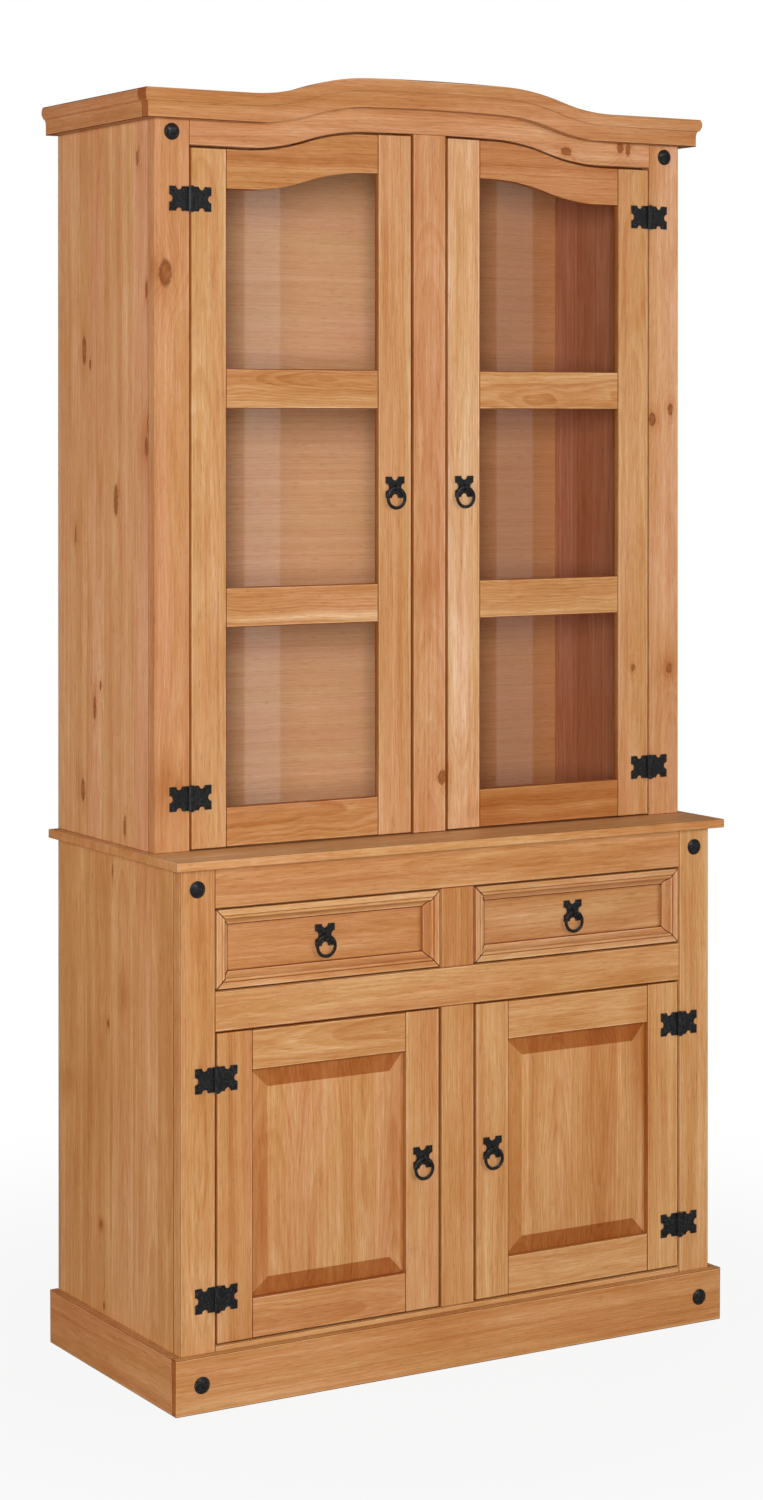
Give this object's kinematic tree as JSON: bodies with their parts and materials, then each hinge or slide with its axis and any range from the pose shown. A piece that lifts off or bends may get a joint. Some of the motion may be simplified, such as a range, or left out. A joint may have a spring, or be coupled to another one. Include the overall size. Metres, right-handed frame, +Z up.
{
  "type": "trastero cabinet",
  "caption": "Rustic pine cupboard: an arched, glazed hutch with shelves above a base with drawers and panelled doors, on black iron strap hinges and ring pulls.",
  "frame": {"origin": "on the floor, below the middle of the buffet top", "axes": "+Z up, +X to the cabinet's right as seen from the front, -Y towards the front"},
  "size_m": [0.9592, 0.42, 1.874],
  "materials": {
    "waxed_pine": "waxed, satin",
    "back_boards": "waxed, satin",
    "glass": "clear, polished",
    "black_iron": "hammered black"
  },
  "bodies": {
    "carcass": {"base_back": "back_boards", "base_bottom_rail": "waxed_pine", "base_centre_stile": "waxed_pine", "base_floor": "waxed_pine", "base_mid_rail": "waxed_pine", "base_shelf": "waxed_pine", "base_side_left": "waxed_pine", "base_side_right": "waxed_pine", "base_stile_left": "waxed_pine", "base_stile_right": "waxed_pine", "base_top_rail": "waxed_pine", "buffet_top": "waxed_pine", "clavos": "black_iron", "cornice_front": "waxed_pine", "cornice_returns": "waxed_pine", "drawer_divider": "waxed_pine", "drawer_runners": "waxed_pine", "frame_hinges": "black_iron", "hutch_back": "back_boards", "hutch_centre_stile": "waxed_pine", "hutch_header": "waxed_pine", "hutch_roof": "waxed_pine", "hutch_shelves": "waxed_pine", "hutch_side_left": "waxed_pine", "hutch_side_right": "waxed_pine", "hutch_stiles": "waxed_pine", "plinth_front": "waxed_pine", "plinth_returns": "waxed_pine"},
    "base_door_left": {"base_door_left_ironwork": "black_iron", "base_door_left_panel": "waxed_pine", "base_door_left_rails": "waxed_pine", "base_door_left_stiles": "waxed_pine"},
    "base_door_right": {"base_door_right_ironwork": "black_iron", "base_door_right_panel": "waxed_pine", "base_door_right_rails": "waxed_pine", "base_door_right_stiles": "waxed_pine"},
    "base_pull_left": {"base_ring_left": "black_iron"},
    "base_pull_right": {"base_ring_right": "black_iron"},
    "drawer_left": {"drawer_left_box": "waxed_pine", "drawer_left_front": "waxed_pine", "drawer_left_moulding": "waxed_pine", "drawer_left_pull_plate": "black_iron"},
    "drawer_right": {"drawer_right_box": "waxed_pine", "drawer_right_front": "waxed_pine", "drawer_right_moulding": "waxed_pine", "drawer_right_pull_plate": "black_iron"},
    "drawer_pull_left": {"drawer_ring_left": "black_iron"},
    "drawer_pull_right": {"drawer_ring_right": "black_iron"},
    "hutch_door_left": {"hutch_door_left_arch_rail": "waxed_pine", "hutch_door_left_cross_rails": "waxed_pine", "hutch_door_left_ironwork": "black_iron", "hutch_door_left_panes": "glass", "hutch_door_left_stiles": "waxed_pine"},
    "hutch_door_right": {"hutch_door_right_arch_rail": "waxed_pine", "hutch_door_right_cross_rails": "waxed_pine", "hutch_door_right_ironwork": "black_iron", "hutch_door_right_panes": "glass", "hutch_door_right_stiles": "waxed_pine"},
    "hutch_pull_left": {"hutch_ring_left": "black_iron"},
    "hutch_pull_right": {"hutch_ring_right": "black_iron"}
  },
  "joints": [
    {"name": "hutch_door_left_hinge", "type": "hinge", "parent": "carcass", "child": "hutch_door_left", "pos_m": [-0.397, -0.1165, 1.265], "axis": [0, 0, -1], "range_deg": [0, 170]},
    {"name": "base_door_left_hinge", "type": "hinge", "parent": "carcass", "child": "base_door_left", "pos_m": [-0.397, -0.1945, 0.305], "axis": [0, 0, -1], "range_deg": [0, 170]},
    {"name": "drawer_left_slide", "type": "slide", "parent": "carcass", "child": "drawer_left", "axis": [0, -1, 0], "range_m": [0, 0.28]},
    {"name": "hutch_pull_left_swing", "type": "hinge", "parent": "hutch_door_left", "child": "hutch_pull_left", "pos_m": [-0.06, -0.1172, 1.276], "axis": [-1, 0, 0], "range_deg": [0, 110]},
    {"name": "base_pull_left_swing", "type": "hinge", "parent": "base_door_left", "child": "base_pull_left", "pos_m": [-0.06, -0.1952, 0.3075], "axis": [-1, 0, 0], "range_deg": [0, 110]},
    {"name": "drawer_pull_left_swing", "type": "hinge", "parent": "drawer_left", "child": "drawer_pull_left", "pos_m": [-0.21325, -0.1782, 0.6405], "axis": [-1, 0, 0], "range_deg": [0, 110]},
    {"name": "hutch_door_right_hinge", "type": "hinge", "parent": "carcass", "child": "hutch_door_right", "pos_m": [0.397, -0.1165, 1.265], "axis": [0, 0, 1], "range_deg": [0, 170]},
    {"name": "base_door_right_hinge", "type": "hinge", "parent": "carcass", "child": "base_door_right", "pos_m": [0.397, -0.1945, 0.305], "axis": [0, 0, 1], "range_deg": [0, 170]},
    {"name": "drawer_right_slide", "type": "slide", "parent": "carcass", "child": "drawer_right", "axis": [0, -1, 0], "range_m": [0, 0.28]},
    {"name": "hutch_pull_right_swing", "type": "hinge", "parent": "hutch_door_right", "child": "hutch_pull_right", "pos_m": [0.06, -0.1172, 1.276], "axis": [-1, 0, 0], "range_deg": [0, 110]},
    {"name": "base_pull_right_swing", "type": "hinge", "parent": "base_door_right", "child": "base_pull_right", "pos_m": [0.06, -0.1952, 0.3075], "axis": [-1, 0, 0], "range_deg": [0, 110]},
    {"name": "drawer_pull_right_swing", "type": "hinge", "parent": "drawer_right", "child": "drawer_pull_right", "pos_m": [0.21325, -0.1782, 0.6405], "axis": [-1, 0, 0], "range_deg": [0, 110]}
  ]
}
